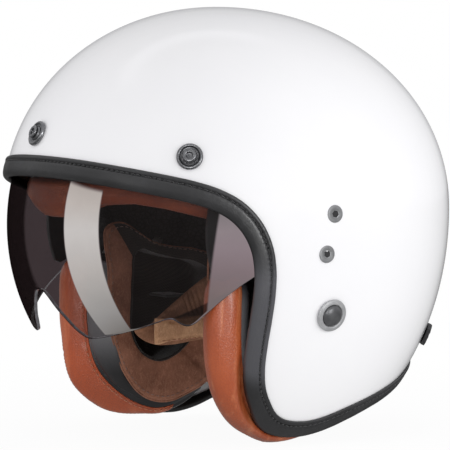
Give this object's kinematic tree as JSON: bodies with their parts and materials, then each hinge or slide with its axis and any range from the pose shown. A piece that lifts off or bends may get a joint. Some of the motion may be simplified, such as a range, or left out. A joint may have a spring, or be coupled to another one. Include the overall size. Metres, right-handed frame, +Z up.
{
  "type": "open face motorcycle helmet",
  "caption": "Gloss white open face helmet with wrapped black edge trim, drop-down smoked visor, tan padded lining, press studs and a chin strap with double rings.",
  "frame": {"origin": "middle of the bounding box in X and Y, at the level of the cheek pads' lowest point", "axes": "+Z up towards the crown, the wearer looks along -Y, +X is the wearer's left"},
  "size_m": [0.2492, 0.2716, 0.2516],
  "materials": {
    "shell_white": "gloss lacquer",
    "foam_black": "bead foam",
    "trim_black": "soft grained leatherette",
    "metal_gunmetal": "dark plated",
    "metal_grey": "satin",
    "lens_smoke": "smoked, gloss",
    "plastic_black": "fine texture",
    "leather_tan": "soft leatherette, tan",
    "fabric_brown": "brushed suede",
    "fabric_dark": "knitted",
    "suede_tan": "brushed suede",
    "webbing_black": "woven",
    "ring_steel": "bright satin"
  },
  "bodies": {
    "helmet": {"outer_shell": "shell_white", "energy_liner": "foam_black", "edge_trim": "trim_black", "trim_welt": "trim_black", "crown_liner": "fabric_dark", "brow_band": "leather_tan", "neck_roll": "fabric_brown", "stud_ring_centre": "metal_gunmetal", "stud_post_centre": "metal_gunmetal", "stud_ring_left": "metal_gunmetal", "stud_post_left": "metal_gunmetal", "stud_ring_right": "metal_gunmetal", "stud_post_right": "metal_gunmetal", "visor_pivot_pin_left": "metal_grey", "visor_base_plate_left": "plastic_black", "side_screw_upper_left": "metal_grey", "side_screw_lower_left": "metal_grey", "rivet_washer_left": "metal_grey", "rivet_cap_left": "metal_gunmetal", "strap_plate_left": "metal_grey", "strap_root_left": "webbing_black", "cheek_roll_left": "leather_tan", "cheek_band_left": "fabric_dark", "cheek_pad_left": "fabric_brown", "pad_carrier_left": "plastic_black", "visor_pivot_pin_right": "metal_grey", "visor_base_plate_right": "plastic_black", "side_screw_upper_right": "metal_grey", "side_screw_lower_right": "metal_grey", "rivet_washer_right": "metal_grey", "rivet_cap_right": "metal_gunmetal", "strap_plate_right": "metal_grey", "strap_root_right": "webbing_black", "cheek_roll_right": "leather_tan", "cheek_band_right": "fabric_dark", "cheek_pad_right": "fabric_brown", "pad_carrier_right": "plastic_black"},
    "visor": {"sun_visor": "lens_smoke", "visor_arm_left": "plastic_black", "visor_arm_right": "plastic_black"},
    "strap_left": {"strap_cover_left": "suede_tan", "strap_web_left": "webbing_black"},
    "strap_right": {"strap_cover_right": "suede_tan", "strap_web_right": "webbing_black", "strap_snap": "metal_gunmetal"},
    "ring_inner": {"d_ring_inner": "ring_steel"},
    "ring_outer": {"d_ring_outer": "ring_steel"},
    "retainer": {"goggle_retainer": "trim_black", "retainer_snap": "metal_gunmetal"}
  },
  "joints": [
    {"name": "visor_hinge", "type": "hinge", "parent": "helmet", "child": "visor", "pos_m": [0, -0.00638, 0.12199], "axis": [1, 0, 0], "range_deg": [-48, 0]},
    {"name": "strap_left_hinge", "type": "hinge", "parent": "helmet", "child": "strap_left", "pos_m": [0.0526, -0.01838, 0.05549], "axis": [1, 0, 0], "range_deg": [-110, 0]},
    {"name": "strap_right_hinge", "type": "hinge", "parent": "helmet", "child": "strap_right", "pos_m": [-0.0526, -0.01838, 0.05549], "axis": [1, 0, 0], "range_deg": [-110, 0]},
    {"name": "ring_inner_hinge", "type": "hinge", "parent": "strap_left", "child": "ring_inner", "pos_m": [0.0526, 0.03782, 0.05549], "axis": [0, 0, 1], "range_deg": [0, 70]},
    {"name": "ring_outer_hinge", "type": "hinge", "parent": "strap_left", "child": "ring_outer", "pos_m": [0.0526, 0.03782, 0.05549], "axis": [0, 0, 1], "range_deg": [0, 70]},
    {"name": "retainer_hinge", "type": "hinge", "parent": "helmet", "child": "retainer", "pos_m": [0, 0.11842, 0.04629], "axis": [1, 0, 0], "range_deg": [-45, 0]}
  ],
  "couplings": [
    {"joint": "ring_outer_hinge", "follows": "ring_inner_hinge", "ratio": 1}
  ]
}
